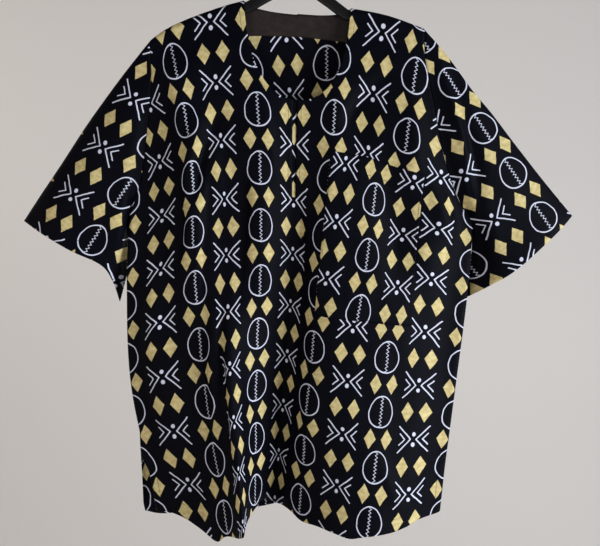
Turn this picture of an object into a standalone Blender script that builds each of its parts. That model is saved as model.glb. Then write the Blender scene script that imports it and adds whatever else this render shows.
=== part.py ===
"""A short-sleeve shirt on a plain hanger, as a Blender model in metres, +Z up.

The origin is the inside top of the hanger's hook, the front of the shirt faces -Y, and +X is the
wearer's left. Each cloth piece is cut flat first, in cloth millimetres: u runs across the cloth from
the centre line, v runs down it. The hang functions then carry the flat cloth to where it hangs.
"""

import math

import bmesh
import bpy
import numpy as np
from mathutils import Vector

MM = 0.001

# Cloth
WALL = 1.6
SEAM_GAP = 0.3
LINE_STEP = 60.0
ROW_STEP = 44.0

# The flat cut of front and back, u and v in cloth mm, wearer's right first and wearer's left second
CHEST_HALF = 300.0
NECK_HALF = 70.0
NECK_TOP = -31.0
NECK_BOTTOM = 110.0
NECK_POWER = 2.6
BACK_NECK_BOTTOM = -9.0
SHOULDER_TIP = {-1: (-215.0, 8.0), 1: (183.0, -28.0)}
ARMHOLE = {
    -1: ((-226, 50), (-241, 90), (-256, 128), (-270, 168), (-281, 205), (-292, 236)),
    1: ((187, 2), (200, 40), (216, 78), (228, 110), (244, 148), (270, 200), (289, 230)),
}
UNDERARM = {-1: (-300.0, 258.0), 1: (300.0, 244.0)}
VENT_TOP = 640.0
HEM = 786.0
HEM_RISE = 50.0
HEM_RISE_START = 165.0
HEM_POINTS = 17
SLIT_END = 259.0
SLIT_HALF = 3.0

# Pocket, neck facing and slit underlap, in the same cloth mm
POCKET = {"left": 58.0, "right": 213.0, "top": 182.0, "bottom": 432.0}
POCKET_WALL = 1.3
FACING = {"half": 105.0, "bottom": 20.0, "tilt": -0.07}
FACING_WALL = 1.0
FACING_GAP = 0.45
UNDERLAP = {"left": -15.0, "right": 15.0, "top": 110.0, "bottom": 276.0}
UNDERLAP_WALL = 1.0

# Sleeve edges in mm as x, y, z: the fold along the top, the underarm line, and the cuff's two faces
SLEEVE = {
    -1: {
        "top": ((-240, 0, -195), (-287, 0, -249), (-335, 0, -312), (-384, 0, -382), (-441, 0, -463)),
        "under": ((-289, 9, -500), (-286, 19, -526), (-276, 27, -556)),
        "cuff_front": ((-441, 0, -463), (-405, -15, -484), (-360, -19, -510), (-310, -8, -537),
                       (-290, 10, -548), (-276, 27, -556)),
        "cuff_back": ((-441, 0, -463), (-405, 17, -486), (-360, 26, -514), (-318, 33, -548),
                      (-296, 38, -582), (-282, 33, -572), (-276, 27, -556)),
    },
    1: {
        "top": ((241, 0, -205), (258, 0, -227), (281, 0, -258), (311, 0, -291), (352, 0, -342),
                (395, 0, -394), (447, 0, -455)),
        "under": ((297, 8, -496), (291, 21, -540), (272, 28, -598)),
        "cuff_front": ((447, 0, -455), (425, -12, -472), (397, -18, -494), (349, -17, -550),
                       (306, 2, -583), (272, 28, -598)),
        "cuff_back": ((447, 0, -455), (424, 14, -474), (390, 24, -504), (345, 32, -553),
                      (300, 38, -590), (272, 28, -598)),
    },
}
SLEEVE_LEVELS = (0.0, 0.05, 0.13, 0.25, 0.39, 0.54, 0.69, 0.84, 1.0)
SLEEVE_BULGE = 10.0
CUFF_BULGE = 3.0
UNDERARM_SWING = 6.0
UNDERARM_BACK = 11.0
UNDERARM_STEP = 10.0
UNDERARM_GAP = 0.25

# The hanger, in mm: its arms lie under the shoulder seams, and its hook stands at the centre
ARM_THICK = 8.0
ARM_TALL = 17.0
ARM_SINK = 1.6
ARM_PEAK = -82.0
ARM_REACH = {-1: -194.0, 1: 164.0}
ARM_NECK = {-1: ((14, -85), (33, -97), (56, -109)), 1: ((14, -85), (33, -98), (58, -115))}
HOOK_RADIUS = 23.0
HOOK_WIRE = 3.0
HOOK_STEM = ((0, -96), (0, -70), (1, -58), (7, -48), (15, -39))

# How the front hangs: one row for each level of the cloth, one column for each upright line of it
LINES = (-5, -4, -3, -2, -1, 0, 1, 2, 3, 4, 5)
ROWS = (0, 4, 8, 12, 16)
FRONT_X = {
    0: (-301, -248, -199, -133, -68, 2, 72, 137, 194, 252, 310),
    4: (-269, -216, -163, -117, -57, -3, 57, 113, 168, 229, 290),
    8: (-277, -214, -161, -110, -55, -5, 39, 99, 156, 216, 282),
    12: (-275, -210, -148, -103, -63, -15, 23, 82, 141, 199, 265),
    16: (-243, -176, -121, -89, -66, -30, 10, 65, 121, 182, 247),
}
FRONT_Y = {
    0: (-8, -12, -12, -12, -12, -12, -12, -12, -12, -12, -8),
    4: (0, -12, -36, -22, -30, -16, -26, -26, -24, -16, 0),
    8: (0, -10, -38, -24, -40, -14, -44, -46, -40, -24, 0),
    12: (0, -16, -40, -66, -30, 0, -40, -54, -48, -30, 0),
    16: (-6, -22, -52, -84, -38, 8, -34, -62, -68, -48, -10),
}
FRONT_Z = {
    0: (-203, -189, -170, -156, -151, -154, -162, -172, -190, -212, -235),
    4: (-386, -369, -351, -337, -334, -342, -347, -356, -375, -393, -413),
    8: (-559, -539, -522, -517, -512, -515, -529, -537, -546, -555, -573),
    12: (-734, -713, -704, -691, -685, -686, -705, -714, -722, -728, -744),
    16: (-912, -897, -892, -854, -857, -858, -877, -884, -896, -904, -914),
}
# How far the back stands behind the hanger's plane, and how much higher its middle lies than its sides
BACK_Y = {
    0: (8, 12, 12, 12, 12, 12, 12, 12, 12, 12, 8),
    4: (0, 9, 15, 17, 16, 17, 16, 18, 15, 9, 0),
    8: (0, 13, 24, 20, 28, 22, 30, 20, 24, 13, 0),
    12: (0, 17, 38, 25, 33, 47, 33, 24, 38, 19, 0),
    16: (6, 24, 54, 32, 40, 66, 44, 30, 56, 27, 8),
}
BACK_CROWN = {0: 0, 4: 62, 8: 50, 12: 42, 16: 36}

SHOULDER_ROUND = 7.5
SHOULDER_FADE = 60.0
BACK_JOIN_FADE = 150.0
SIDE_ROUND = 6.0
SIDE_FADE = 60.0
VENT_OPEN = 9.0

# The panel's mesh: where its upright and level lines run, in cloth mm
PANEL_U = (-295, -284, -264, -240, -216, -192, -172, -156, -143, -128, -110, -88, -66, -44, -15,
           -3, 3, 15, 36, 58, 78, 105, 132, 158, 186, 213, 240, 264, 284, 295)
PANEL_V = (46, 78, 110, 146, 182, 218, 259, 276, 306, 338, 370, 401, 432, 467, 502, 537, 572,
           607, 640, 670, 700, 730, 760)
BACK_V = (20, *PANEL_V)
SHOULDER_STEPS = (4, 8, 12, 26)
BACK_U = (-295, -284, -260, -230, -205, -180, -155, -130, -105, -80, -54, -27, 0, 27, 54, 80, 105,
          130, 155, 180, 205, 230, 260, 284, 295)


def smoothstep(t):
    t = np.clip(t, 0.0, 1.0)
    return t * t * (3 - 2 * t)


def spline(stations, values, t):
    """A smooth curve through values at stations, read at t, straight on beyond the ends."""
    stations = np.asarray(stations, float)
    values = np.asarray(values, float)
    steps = np.diff(values, axis=0) / np.diff(stations).reshape((-1,) + (1,) * (values.ndim - 1))
    slopes = np.concatenate([steps[:1], (steps[1:] + steps[:-1]) / 2, steps[-1:]])
    i = np.clip(np.searchsorted(stations, t) - 1, 0, len(stations) - 2)
    width = stations[i + 1] - stations[i]
    q = (t - stations[i]) / width
    inside = np.clip(q, 0.0, 1.0)
    start = 2 * inside**3 - 3 * inside**2 + 1
    weights = (start, (inside**3 - 2 * inside**2 + inside) * width,
               1 - start, (inside**3 - inside**2) * width)
    beyond = (q - inside) * width
    extra = np.where(q < 0, 1.0, 0.0), np.where(q > 1, 1.0, 0.0)
    if values.ndim == 2:
        columns = np.arange(values.shape[1])
        picked = (values[i, columns], slopes[i, columns], values[i + 1, columns], slopes[i + 1, columns])
        ends = slopes[0], slopes[-1]
    else:
        picked = values[i], slopes[i], values[i + 1], slopes[i + 1]
        ends = slopes[0], slopes[-1]
    result = sum(w * p for w, p in zip(weights, picked))
    return result + beyond * (extra[0] * ends[0] + extra[1] * ends[1])


def read_table(table, line, row):
    """The table's value at each (line, row), smooth across and down."""
    levels = np.stack([spline(LINES, table[level], line) for level in ROWS])
    return spline(ROWS, levels, row)


def seam_height(u):
    """v of the shoulder seam at u, straight on past both its ends."""
    side = np.where(u < 0, -1, 1)
    tip_u = np.where(side < 0, SHOULDER_TIP[-1][0], SHOULDER_TIP[1][0])
    tip_v = np.where(side < 0, SHOULDER_TIP[-1][1], SHOULDER_TIP[1][1])
    along = (np.abs(u) - NECK_HALF) / (np.abs(tip_u) - NECK_HALF)
    return NECK_TOP + (tip_v - NECK_TOP) * along


def hang(u, v, table_x, table_y, table_z, facing):
    """Where the cloth at (u, v) hangs, in mm; facing is -1 for the front and +1 for the back."""
    u = np.asarray(u, float)
    v = np.asarray(v, float)
    below = np.maximum(v - seam_height(u), 0.0)
    turn = np.minimum(below / SHOULDER_ROUND, math.pi / 2)
    straight = np.maximum(below - SHOULDER_ROUND * math.pi / 2, 0.0)
    spare = (math.pi / 2 - 1) * SHOULDER_ROUND
    drop = SHOULDER_ROUND * (1 - np.cos(turn)) + straight + spare * smoothstep(below / SHOULDER_FADE)
    line = u / LINE_STEP
    row = (seam_height(u) + drop) / ROW_STEP
    x = read_table(table_x, line, row)
    z = read_table(table_z, line, row)
    y_table = read_table(table_y, line, row)
    y_wrap = facing * (SHOULDER_ROUND * np.sin(turn) + SEAM_GAP / 2)
    y = y_wrap + (y_table - facing * SHOULDER_ROUND) * smoothstep(straight / SHOULDER_FADE)
    # The side seam, where the cloth rounds back to meet the other panel
    side = np.where(u < 0, -1.0, 1.0)
    x_edge = read_table(table_x, side * CHEST_HALF / LINE_STEP, row)
    inward = np.maximum(CHEST_HALF - np.abs(u), 0.0)
    bend = np.minimum(inward / SIDE_ROUND, math.pi / 2)
    flat = np.maximum(inward - SIDE_ROUND * math.pi / 2, 0.0)
    open_vent = VENT_OPEN * smoothstep((v - VENT_TOP) / (HEM - VENT_TOP))
    y_side = facing * (SEAM_GAP / 2 + open_vent + SIDE_ROUND * np.sin(bend))
    x_side = x_edge - side * (SIDE_ROUND * (1 - np.cos(bend)) + flat)
    keep = smoothstep(inward / SIDE_FADE)
    near_side = smoothstep((v - UNDERARM[-1][1] + 130) / 100)
    keep = 1 - (1 - keep) * near_side
    return np.stack([x_side + (x - x_side) * keep, y_side + (y - y_side) * keep, z], axis=-1)


def back_tables():
    """The back's x and z tables: the front's edges, with the cloth spread evenly between them."""
    x_rows, z_rows = {}, {}
    for row in ROWS:
        if row == 0:
            x_rows[row], z_rows[row] = FRONT_X[row], FRONT_Z[row]
            continue
        share = (np.array(LINES) - LINES[0]) / (LINES[-1] - LINES[0])
        left, right = FRONT_X[row][0], FRONT_X[row][-1]
        x_rows[row] = tuple(left + (right - left) * share)
        low, high = FRONT_Z[row][0], FRONT_Z[row][-1]
        crown = BACK_CROWN[row] * (1 - (2 * share - 1) ** 2)
        z_rows[row] = tuple(low + (high - low) * share + crown)
    return x_rows, z_rows


BACK_X, BACK_Z = back_tables()


def hang_front(u, v):
    return hang(u, v, FRONT_X, FRONT_Y, FRONT_Z, -1)


def hang_back(u, v):
    """The back, brought to the front's shoulder seam at its top."""
    u = np.asarray(u, float)
    place = hang(u, v, BACK_X, BACK_Y, BACK_Z, 1)
    seam = seam_height(u)
    step = hang_front(u, seam) - hang(u, seam, BACK_X, BACK_Y, BACK_Z, 1)
    fade = 1 - smoothstep((v - seam) / BACK_JOIN_FADE)
    step[..., 1] = 0
    return place + step * fade[..., None]


def outward(hanging, u, v, facing):
    """The unit normal on the outside of the cloth at (u, v)."""
    step = 1.5
    across = hanging(u + step, v) - hanging(u - step, v)
    down = hanging(u, v + step) - hanging(u, v - step)
    normal = np.cross(down, across) * -facing
    normal /= np.linalg.norm(normal, axis=-1, keepdims=True)
    return normal


def panel_normals(hanging, u, v, facing):
    """Outward normals, held square to the rim along the side and shoulder seams."""
    normal = outward(hanging, u, v, facing)
    on_side = (np.abs(np.abs(u) - CHEST_HALF) < 0.01) & (v < VENT_TOP + 0.01)
    normal[on_side] = np.stack([np.sign(u[on_side]), 0 * u[on_side], 0 * u[on_side]], axis=-1)
    on_seam = np.abs(v - seam_height(u)) < 0.01
    if on_seam.any():
        ridge = hanging(u[on_seam] + 3, seam_height(u[on_seam] + 3)) - hanging(u[on_seam] - 3, seam_height(u[on_seam] - 3))
        up = np.stack([-ridge[:, 2], 0 * ridge[:, 0], ridge[:, 0]], axis=-1)
        normal[on_seam] = up / np.linalg.norm(up, axis=-1, keepdims=True)
    return normal


def armhole_line(side):
    return [SHOULDER_TIP[side], *ARMHOLE[side], UNDERARM[side]]


def neck_curve(bottom, power, points):
    """The neck's cut edge from the left high point to the right one."""
    angles = np.linspace(math.pi, 0, points)
    u = NECK_HALF * np.sign(np.cos(angles)) * np.abs(np.cos(angles)) ** (2 / power)
    v = NECK_TOP + (bottom - NECK_TOP) * np.sin(angles) ** (2 / power)
    return list(zip(u, v))


def hem_line(u):
    rise = HEM_RISE * (np.maximum(np.abs(u) - HEM_RISE_START, 0) / (CHEST_HALF - HEM_RISE_START)) ** 2
    return HEM - rise


def panel_outline(neck):
    """The flat outline of a panel, from the wearer's right high point round by the hem."""
    right = armhole_line(-1)
    left = armhole_line(1)[::-1]
    hem_u = np.linspace(-CHEST_HALF, CHEST_HALF, HEM_POINTS)
    hem = [(u, hem_line(u)) for u in hem_u]
    sides = ([(-CHEST_HALF, VENT_TOP)], [(CHEST_HALF, VENT_TOP)])
    return right + sides[0] + hem + sides[1] + left + neck[::-1]


def front_neck():
    """The front neck curve with the slit cut down from its lowest point."""
    curve = neck_curve(NECK_BOTTOM, NECK_POWER, 19)
    right = [p for p in curve if p[0] < -SLIT_HALF - 4]
    left = [p for p in curve if p[0] > SLIT_HALF + 4]
    slit = [(-SLIT_HALF, NECK_BOTTOM), (-SLIT_HALF, SLIT_END), (SLIT_HALF, SLIT_END), (SLIT_HALF, NECK_BOTTOM)]
    return right + slit + left


def in_shoulder(middle, side):
    """Whether this flat place is close under one side's shoulder seam."""
    return middle.x * side > NECK_HALF - 6 and middle.y < PANEL_V[0] + 1


def flat_mesh(outline, lines_u, lines_v):
    """The flat piece cut along the mesh lines: its points as (u, v) and its triangles."""
    mesh = bmesh.new()
    mesh.faces.new([mesh.verts.new((u, v, 0)) for u, v in outline])
    cuts = [(Vector((place, 0, 0)), Vector((1, 0, 0)), 0) for place in lines_u]
    cuts += [(Vector((0, place, 0)), Vector((0, 1, 0)), 0) for place in lines_v]
    for side in (-1, 1):
        tip_u, tip_v = SHOULDER_TIP[side]
        slope = (tip_v - NECK_TOP) / (abs(tip_u) - NECK_HALF)
        across = Vector((-slope * side, 1, 0)).normalized()
        for step in SHOULDER_STEPS:
            cuts.append((Vector((tip_u, tip_v + step, 0)), across, side))
    for place, across, side in cuts:
        faces = mesh.faces[:]
        if side:
            faces = [face for face in faces if in_shoulder(face.calc_center_median(), side)]
        geometry = set(faces)
        for face in faces:
            geometry.update(face.verts)
            geometry.update(face.edges)
        bmesh.ops.bisect_plane(mesh, geom=list(geometry), dist=0.02, plane_co=place, plane_no=across)
    many = [face for face in mesh.faces if len(face.verts) > 4]
    bmesh.ops.triangulate(mesh, faces=many)
    mesh.verts.index_update()
    points = np.array([vert.co[:2] for vert in mesh.verts])
    triangles = []
    for face in mesh.faces:
        corners = [vert.index for vert in face.verts]
        if len(corners) == 4:
            first = min(range(4), key=lambda n: points[corners[n]].sum())
            a, b, c, d = corners[first:] + corners[:first]
            triangles += [(a, b, c), (a, c, d)]
        else:
            triangles.append(tuple(corners))
    mesh.free()
    return points, triangles


def rim_edges(triangles):
    """The edges that only one triangle has, in that triangle's direction."""
    seen = {}
    for a, b, c in triangles:
        for edge in ((a, b), (b, c), (c, a)):
            seen[edge] = True
    return [edge for edge in seen if (edge[1], edge[0]) not in seen]


def solid(name, outer, inner, triangles, material):
    """A closed cloth wall between two copies of one surface, given in mm."""
    count = len(outer)
    faces = [tuple(t) for t in triangles]
    faces += [tuple(n + count for n in t[::-1]) for t in triangles]
    for a, b in rim_edges(triangles):
        faces += [(b, a, a + count), (b, a + count, b + count)]
    mesh = bpy.data.meshes.new(name)
    mesh.from_pydata([tuple(p) for p in np.concatenate([outer, inner]) * MM], [], faces)
    build = bmesh.new()
    build.from_mesh(mesh)
    bmesh.ops.recalc_face_normals(build, faces=build.faces[:])
    if build.calc_volume(signed=True) < 0:
        bmesh.ops.reverse_faces(build, faces=build.faces[:])
    build.to_mesh(mesh)
    build.free()
    mesh.materials.append(material)
    part = bpy.data.objects.new(name, mesh)
    bpy.context.scene.collection.objects.link(part)
    return part


def cloth_piece(name, outline, lines, hanging, facing, layers, material):
    """A flat cut hung as a wall; layers are its outer and inner distance out from the panel's face."""
    points, triangles = flat_mesh(outline, *lines)
    u, v = points[:, 0], points[:, 1]
    hung = hanging(u, v)
    normal = panel_normals(hanging, u, v, facing)
    solid(name, hung + normal * layers[0], hung + normal * layers[1], triangles, material)
    return points, hung, normal


def on_line(points, line):
    """The indices of the points that lie on a flat polyline, in its order."""
    found = []
    travelled = 0.0
    for start, end in zip(line, line[1:]):
        start, end = np.array(start, float), np.array(end, float)
        length = np.linalg.norm(end - start)
        direction = (end - start) / length
        along = (points - start) @ direction
        off = np.abs((points - start) @ np.array([-direction[1], direction[0]]))
        for n in np.flatnonzero((off < 0.02) & (along > -0.02) & (along < length + 0.02)):
            found.append((travelled + along[n], n))
        travelled += length
    ordered = []
    for _, n in sorted(found):
        if n not in ordered:
            ordered.append(n)
    return ordered


def curve(points, share):
    """Points at each share of the way along a smooth curve through the given points."""
    points = np.array(points, float)
    travelled = np.concatenate([[0], np.cumsum(np.linalg.norm(np.diff(points, axis=0), axis=1))])
    share = np.asarray(share, float) * travelled[-1]
    return np.stack([spline(travelled, column, share) for column in points.T], axis=-1)


def armhole_ring(side, front, back):
    """The sleeve's first ring: round the armhole from the shoulder, 0.3 mm beyond the panels' edges."""
    halves = []
    for points, hung, normal in (front, back):
        order = on_line(points, armhole_line(side))
        edge, out = hung[order], normal[order]
        tangent = np.gradient(edge, axis=0)
        away = np.cross(out, tangent)
        away *= np.sign((away[1:-1, 0] * side).sum())
        away /= np.linalg.norm(away, axis=1, keepdims=True)
        travelled = np.concatenate([[0], np.cumsum(np.linalg.norm(np.diff(edge, axis=0), axis=1))])
        halves.append((edge, out, away, travelled / travelled[-1]))
    (edge_f, out_f, away_f, share_f), (edge_b, out_b, away_b, share_b) = halves
    tip_away = away_f[0] + away_b[0]
    ends = [((edge_f[0] + edge_b[0]) / 2, out_f[0] + out_b[0], tip_away / np.linalg.norm(tip_away)),
            ((edge_f[-1] + edge_b[-1]) / 2, np.array((-0.6 * side, 0, -0.8)), np.array((1.2 * side, 0, -0.9)))]
    place = [ends[0][0], *edge_f[1:-1], ends[1][0], *edge_b[-2:0:-1]]
    out = [ends[0][1], *out_f[1:-1], ends[1][1], *out_b[-2:0:-1]]
    away = [ends[0][2], *away_f[1:-1], ends[1][2], *away_b[-2:0:-1]]
    out = np.array(out)
    out /= np.linalg.norm(out, axis=1, keepdims=True)
    share = np.concatenate([share_f, share_b[-2:0:-1]])
    face = np.array([-1] * len(share_f) + [1] * (len(share_b) - 2))
    gap = SEAM_GAP + UNDERARM_GAP * smoothstep((share - 0.6) / 0.2)
    return np.array(place) + np.array(away) * gap[:, None], out, share, face


def sleeve_surface(side, ring, share, face, levels):
    """The sleeve's outer surface, level by level, from the armhole ring out to the cuff."""
    edges = SLEEVE[side]
    under = int(np.argmax(share))
    levels = np.array(levels)
    top = curve([ring[0], *edges["top"]], levels)
    low = curve([ring[under], *edges["under"]], levels)
    cuff = np.where((face < 0)[:, None], curve(edges["cuff_front"], share), curve(edges["cuff_back"], share))
    rows = []
    for n, s in enumerate(levels):
        w = share[:, None]
        ruled = (1 - s) * ring + s * cuff + (1 - w) * top[n] + w * low[n]
        corners = (1 - s) * ((1 - w) * top[0] + w * low[0]) + s * ((1 - w) * top[-1] + w * low[-1])
        row = ruled - corners
        depth = SLEEVE_BULGE * smoothstep(s / 0.25) * (1 - s) + CUFF_BULGE * smoothstep(s)
        row[:, 1] += face * depth * np.sin(math.pi * share) ** 0.6
        low_part = np.sin(math.pi * np.clip((share - 0.5) / 0.5, 0, 1)) ** 2
        row[:, 0] += side * UNDERARM_SWING * low_part * math.sin(math.pi * s) ** 0.7
        behind = smoothstep((share - 0.66) / 0.2) * smoothstep((s - 0.08) / 0.2) * (1 - s) ** 0.5
        row[:, 1] += UNDERARM_BACK * behind
        corner = smoothstep((share - 0.78) / 0.14) * math.sin(math.pi * min(s / 0.3, 1.0))
        row[:, 0] += side * UNDERARM_STEP * corner
        rows.append(row)
    return np.array(rows)


def vertex_normals(points, triangles):
    """Each point's normal, as the mean of its triangles."""
    triangles = np.array(triangles)
    corners = points[triangles]
    flat = np.cross(corners[:, 1] - corners[:, 0], corners[:, 2] - corners[:, 0])
    total = np.zeros_like(points)
    for n in range(3):
        np.add.at(total, triangles[:, n], flat)
    return total / np.linalg.norm(total, axis=1, keepdims=True)


def sleeve(name, side, front, back, material):
    ring, out, share, face = armhole_ring(side, front, back)
    rows = sleeve_surface(side, ring, share, face, SLEEVE_LEVELS)
    count = len(ring)
    triangles = []
    for level in range(len(rows) - 1):
        for n in range(count):
            a, b = level * count + n, level * count + (n + 1) % count
            c, d = b + count, a + count
            triangles += [(a, b, c), (a, c, d)]
    outer = rows.reshape(-1, 3)
    normal = vertex_normals(outer, triangles)
    normal *= np.sign((normal[:count] * out).sum())
    normal[:count] = out
    solid(name, outer, outer - normal * WALL, triangles, material)


def facing_outline(neck):
    """The neck facing: along the neck's cut edge above, nearly straight below, clear of the arms."""
    half, under_seam = FACING["half"], SHOULDER_STEPS[2]
    top = [(u, v) for u, v in neck if v > NECK_TOP + under_seam + 1]
    left = [(-half, FACING["bottom"] + FACING["tilt"] * half)]
    right = [(half, FACING["bottom"] - FACING["tilt"] * half)]
    for u in (-half, -NECK_HALF - 3):
        left.append((u, float(seam_height(np.array(u))) + under_seam))
    for u in (NECK_HALF + 3, half):
        right.insert(0, (u, float(seam_height(np.array(u))) + under_seam))
    right = [right[1], right[0], right[2]] if right[0][0] > right[1][0] else right
    return left + top + right


def rectangle(box):
    left, right, top, bottom = box["left"], box["right"], box["top"], box["bottom"]
    return [(left, top), (right, top), (right, bottom), (left, bottom)]


def tube(path, section, name, material):
    """A closed solid swept along a path in the x-z plane; section gives (width, height) half sizes."""
    path = np.array(path, float)
    count = 16
    step = np.gradient(path, axis=0)
    step /= np.linalg.norm(step, axis=1, keepdims=True)
    across = np.stack([-step[:, 1], step[:, 0]], axis=1)
    angles = np.arange(count) * 2 * math.pi / count
    points, faces = [], []
    for (x, z), (ax, az), (thick, tall) in zip(path, across, section):
        for angle in angles:
            reach = math.sin(angle) * thick + np.sign(round(math.sin(angle), 6)) * (tall - thick)
            points.append((x + ax * reach, math.cos(angle) * thick, z + az * reach))
    for ring in range(len(path) - 1):
        for n in range(count):
            a, b = ring * count + n, ring * count + (n + 1) % count
            faces.append((a, b, b + count, a + count))
    faces.append(tuple(range(count)))
    faces.append(tuple(range((len(path) - 1) * count, len(path) * count)))
    mesh = bpy.data.meshes.new(name)
    mesh.from_pydata([tuple(c * MM for c in p) for p in points], [], faces)
    build = bmesh.new()
    build.from_mesh(mesh)
    bmesh.ops.recalc_face_normals(build, faces=build.faces[:])
    bmesh.ops.triangulate(build, faces=[f for f in build.faces if len(f.verts) > 4])
    build.to_mesh(mesh)
    build.free()
    mesh.materials.append(material)
    part = bpy.data.objects.new(name, mesh)
    bpy.context.scene.collection.objects.link(part)
    return part


def arm_path():
    """The middle line of the hanger's arms, from one end to the other, under the shoulder seams."""
    below = WALL + 2.5 * SEAM_GAP
    sides = {}
    for side in (-1, 1):
        u = np.linspace(side * (NECK_HALF - 4), ARM_REACH[side], 12)
        ridge = hang_front(u, seam_height(u))
        sink = below + ARM_SINK * np.linspace(0, 1, 12) ** 3
        seam = list(zip(ridge[:, 0], ridge[:, 2] - sink))
        sides[side] = [(side * x, z) for x, z in ARM_NECK[side]] + seam
    top = sides[-1][::-1] + [(0, ARM_PEAK)] + sides[1]
    top = np.array(top)
    step = np.gradient(top, axis=0)
    step /= np.linalg.norm(step, axis=1, keepdims=True)
    across = np.stack([-step[:, 1], step[:, 0]], axis=1)
    return top - across * ARM_TALL / 2


def hanger(material):
    path = arm_path()
    section = [(ARM_THICK / 2, ARM_TALL / 2)] * len(path)
    arms = tube(path, section, "hanger", material)
    angles = np.radians(np.linspace(-32, 205, 20))
    round_part = [(HOOK_RADIUS * math.cos(a), HOOK_WIRE - HOOK_RADIUS + HOOK_RADIUS * math.sin(a)) for a in angles]
    hook = tube([*HOOK_STEM, *round_part], [(HOOK_WIRE, HOOK_WIRE)] * (len(HOOK_STEM) + 20), "hook_rod", material)
    hook.hide_render = True
    join = arms.modifiers.new("hook_joined", "BOOLEAN")
    join.operation = "UNION"
    join.object = hook
    join.solver = "EXACT"


def make_material(name, colour, roughness, metallic=0.0):
    material = bpy.data.materials.new(name)
    material.use_nodes = True
    shader = material.node_tree.nodes["Principled BSDF"]
    shader.inputs["Base Color"].default_value = (*colour, 1)
    shader.inputs["Roughness"].default_value = roughness
    shader.inputs["Metallic"].default_value = metallic
    return material


def clear_scene():
    for thing in list(bpy.data.objects):
        bpy.data.objects.remove(thing, do_unlink=True)


def build():
    clear_scene()
    print_cloth = make_material("print_cloth", (0.02, 0.02, 0.04), 0.75)
    satin = make_material("facing_satin", (0.05, 0.035, 0.03), 0.45)
    lines = (PANEL_U, PANEL_V)
    front = cloth_piece("front_panel", panel_outline(front_neck()), lines, hang_front, -1,
                        (0.0, -WALL), print_cloth)
    back_neck = neck_curve(BACK_NECK_BOTTOM, 2.2, 13)
    back = cloth_piece("back_panel", panel_outline(back_neck), (BACK_U, BACK_V), hang_back, 1,
                       (0.0, -WALL), print_cloth)
    sleeve("sleeve_right", -1, front, back, print_cloth)
    sleeve("sleeve_left", 1, front, back, print_cloth)
    cloth_piece("pocket", rectangle(POCKET), lines, hang_front, -1,
                (SEAM_GAP + POCKET_WALL, SEAM_GAP), print_cloth)
    inside = -WALL - SEAM_GAP
    cloth_piece("slit_underlap", rectangle(UNDERLAP), lines, hang_front, -1,
                (inside, inside - UNDERLAP_WALL), print_cloth)
    cloth_piece("neck_facing", facing_outline(back_neck), (BACK_U, BACK_V), hang_back, 1,
                (-WALL - FACING_GAP, -WALL - FACING_GAP - FACING_WALL), satin)
    hanger(make_material("black_plastic", (0.01, 0.01, 0.01), 0.4))


build()
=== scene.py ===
"""The look of a short-sleeve printed shirt on a plain hanger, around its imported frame.

Lengths in the cloth tables are millimetres: u runs across the flat cloth from the centre line and v
runs down it, as the pieces were cut. The hang functions carry the flat cloth to where it hangs.
"""

import math
from functools import partialmethod

import bmesh
import bpy
import numpy as np
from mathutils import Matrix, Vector, noise


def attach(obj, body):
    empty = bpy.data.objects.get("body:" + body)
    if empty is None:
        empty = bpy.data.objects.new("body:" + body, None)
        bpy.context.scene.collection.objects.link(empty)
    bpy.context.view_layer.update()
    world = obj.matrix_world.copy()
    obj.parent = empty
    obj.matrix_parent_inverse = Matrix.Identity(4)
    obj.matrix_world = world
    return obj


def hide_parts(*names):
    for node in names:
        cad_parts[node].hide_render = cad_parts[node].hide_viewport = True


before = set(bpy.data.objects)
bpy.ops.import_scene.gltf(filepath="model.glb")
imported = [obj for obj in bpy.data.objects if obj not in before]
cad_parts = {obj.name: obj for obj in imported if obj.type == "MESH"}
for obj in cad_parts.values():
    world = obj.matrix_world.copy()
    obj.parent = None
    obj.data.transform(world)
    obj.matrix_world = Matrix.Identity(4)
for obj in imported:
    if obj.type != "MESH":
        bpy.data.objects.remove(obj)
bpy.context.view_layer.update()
MM = 0.001

# The frame's cloth thickness and the gap at its seams, and the print's steps across and down, in mm
WALL = 1.6
SEAM_GAP = 0.3
LINE_STEP = 60.0
ROW_STEP = 44.0

# The flat cut of front and back, u and v in cloth mm, wearer's right first and wearer's left second
CHEST_HALF = 300.0
NECK_HALF = 70.0
NECK_TOP = -31.0
NECK_BOTTOM = 110.0
NECK_POWER = 2.6
BACK_NECK_BOTTOM = -12.0
BACK_NECK_POWER = 2.2
SHOULDER_TIP = {-1: (-215.0, -2.0), 1: (183.0, -28.0)}
ARMHOLE = {
    -1: ((-226, 50), (-241, 90), (-256, 128), (-270, 168), (-281, 205), (-292, 236)),
    1: ((187, 2), (200, 40), (216, 78), (228, 110), (244, 148), (270, 200), (289, 230)),
}
UNDERARM = {-1: (-300.0, 258.0), 1: (300.0, 244.0)}
VENT_TOP = 640.0
HEM = 786.0
HEM_RISE = 50.0
HEM_RISE_START = 165.0
FRONT_HEM = ((-300, 744), (-280, 746), (-262, 757), (-240, 776), (-220, 789), (-207, 790), (-190, 779),
             (-178, 778), (-160, 787), (-135, 804), (-120, 810), (-108, 801), (-90, 791), (-70, 784),
             (-45, 776), (-30, 778), (-10, 789), (5, 793), (25, 786), (45, 781), (70, 784), (90, 782),
             (120, 783), (150, 782), (175, 773), (200, 767), (230, 761), (255, 753.5), (280, 749),
             (300, 740.5))
HEM_POINTS = 121
BACK_CORNER = {"drop": 14.0, "reach": 45.0}
SLIT_END = 259.0
SLIT_HALF = 3.0

# Pocket, neck facing and slit underlap, in the same cloth mm
POCKET = {"left": 58.0, "right": 213.0, "top": 182.0, "bottom": 432.0}
FACING = {"half": 105.0, "bottom": 18.0, "under_seam": 12.0, "past_neck": 3.0}
UNDERLAP = {"left": -15.0, "right": 15.0, "top": 110.0, "bottom": 276.0}

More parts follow.
